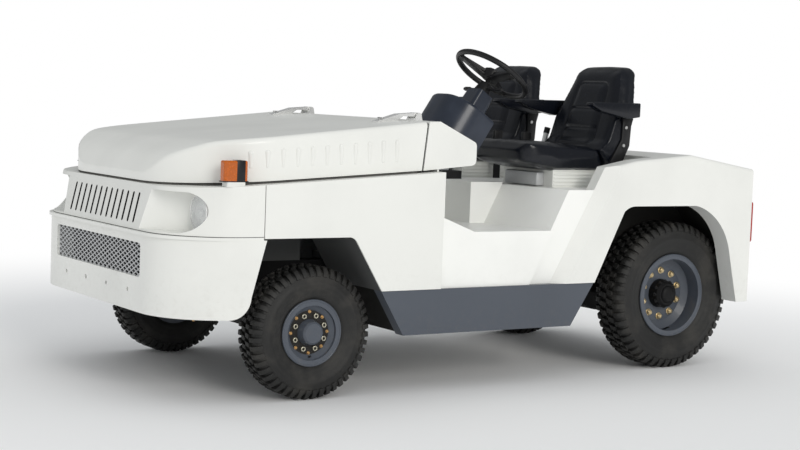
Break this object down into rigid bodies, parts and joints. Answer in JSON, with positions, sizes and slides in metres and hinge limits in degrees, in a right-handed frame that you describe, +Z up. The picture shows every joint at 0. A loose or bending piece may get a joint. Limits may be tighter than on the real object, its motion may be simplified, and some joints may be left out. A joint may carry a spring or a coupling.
{
  "type": "airport baggage tug",
  "caption": "Open tow tractor with two seats side by side, a long lifting bonnet, wrapped front bumper, steered front wheels and a rear tow jaw, for pulling baggage carts.",
  "frame": {"origin": "middle of the box around the vehicle, on the ground", "axes": "+X forward, +Y to the vehicle's left, +Z up"},
  "size_m": [3.386, 1.64, 1.5779],
  "materials": {
    "white_paint": "semi-gloss",
    "slate_paint": "semi-gloss",
    "black_paint": "satin",
    "engine_iron": "matt",
    "radiator_alloy": "matt",
    "bright_metal": "polished",
    "clear_lens": "clear",
    "red_lens": "gloss",
    "amber_lens": "gloss",
    "mesh_steel": "satin",
    "black_vinyl": "grained",
    "dash_plastic": "gloss",
    "black_plastic": "matt",
    "tyre_rubber": "matt"
  },
  "bodies": {
    "chassis": {"chassis_frame": "black_paint", "front_bumper": "white_paint", "bumper_mesh": "mesh_steel", "grille_panel": "white_paint", "headlamp_bowls": "bright_metal", "headlamp_lenses": "clear_lens", "marker_lamps": "amber_lens", "front_wheelhouses": "black_paint", "side_panel_left": "white_paint", "side_panel_right": "white_paint", "radiator": "radiator_alloy", "engine_block": "engine_iron", "cowl": "white_paint", "hinge_bases": "bright_metal", "cab_floor": "white_paint", "seat_platform": "white_paint", "sill_left": "slate_paint", "sill_right": "slate_paint", "rear_fender_left": "white_paint", "rear_fender_right": "white_paint", "rear_wheelhouses": "black_paint", "rear_deck": "white_paint", "tail_panel": "white_paint", "tail_lamps": "red_lens", "tow_coupling": "black_paint", "seat_frames": "white_paint", "seat_cushions": "black_vinyl", "seat_backs": "black_vinyl", "armrests": "black_vinyl", "dashboard": "dash_plastic", "steering_column": "black_plastic", "control_levers": "black_plastic", "pedals": "black_paint", "front_axle": "black_paint", "leaf_springs": "black_paint", "rear_axle": "black_paint"},
    "bonnet": {"bonnet": "white_paint", "hinge_straps": "bright_metal"},
    "steering_wheel": {"steering_wheel": "black_plastic"},
    "knuckle_left": {"knuckle_left": "black_paint"},
    "knuckle_right": {"knuckle_right": "black_paint"},
    "tie_rod": {"tie_rod": "black_paint"},
    "wheel_front_left": {"tyre_front_left": "tyre_rubber", "rim_front_left": "slate_paint", "hub_front_left": "slate_paint"},
    "wheel_front_right": {"tyre_front_right": "tyre_rubber", "rim_front_right": "slate_paint", "hub_front_right": "slate_paint"},
    "wheel_rear_left": {"tyre_rear_left": "tyre_rubber", "rim_rear_left": "slate_paint", "hub_rear_left": "black_paint"},
    "wheel_rear_right": {"tyre_rear_right": "tyre_rubber", "rim_rear_right": "slate_paint", "hub_rear_right": "black_paint"}
  },
  "joints": [
    {"name": "bonnet_open", "type": "hinge", "parent": "chassis", "child": "bonnet", "pos_m": [0.322, 0, 1.25], "axis": [0, -1, 0], "range_deg": [0, 65]},
    {"name": "steer_left", "type": "hinge", "parent": "chassis", "child": "knuckle_left", "pos_m": [0.988, 0.57, 0.295], "axis": [0, 0, 1], "range_deg": [-35, 35]},
    {"name": "steer_right", "type": "hinge", "parent": "chassis", "child": "knuckle_right", "pos_m": [0.988, -0.57, 0.295], "axis": [0, 0, 1], "range_deg": [-35, 35]},
    {"name": "steering_wheel_turn", "type": "hinge", "parent": "chassis", "child": "steering_wheel", "pos_m": [-0.202, 0.379, 1.46], "axis": [-0.5592, 0, 0.829], "range_deg": [-540, 540]},
    {"name": "tie_rod_pivot", "type": "hinge", "parent": "knuckle_left", "child": "tie_rod", "pos_m": [0.818, 0.57, 0.201], "axis": [0, 0, 1], "range_deg": [-35, 35]},
    {"name": "spin_front_left", "type": "hinge", "parent": "knuckle_left", "child": "wheel_front_left", "pos_m": [0.988, 0.688, 0.295], "axis": [0, 1, 0], "continuous": true},
    {"name": "spin_front_right", "type": "hinge", "parent": "knuckle_right", "child": "wheel_front_right", "pos_m": [0.988, -0.688, 0.295], "axis": [0, 1, 0], "continuous": true},
    {"name": "spin_rear_left", "type": "hinge", "parent": "chassis", "child": "wheel_rear_left", "pos_m": [-1.177, 0.603, 0.374], "axis": [0, 1, 0], "continuous": true},
    {"name": "spin_rear_right", "type": "hinge", "parent": "chassis", "child": "wheel_rear_right", "pos_m": [-1.177, -0.603, 0.374], "axis": [0, 1, 0], "continuous": true}
  ],
  "couplings": [
    {"joint": "steer_right", "follows": "steer_left", "ratio": 1},
    {"joint": "steering_wheel_turn", "follows": "steer_left", "ratio": 15},
    {"joint": "tie_rod_pivot", "follows": "steer_left", "ratio": -1}
  ]
}
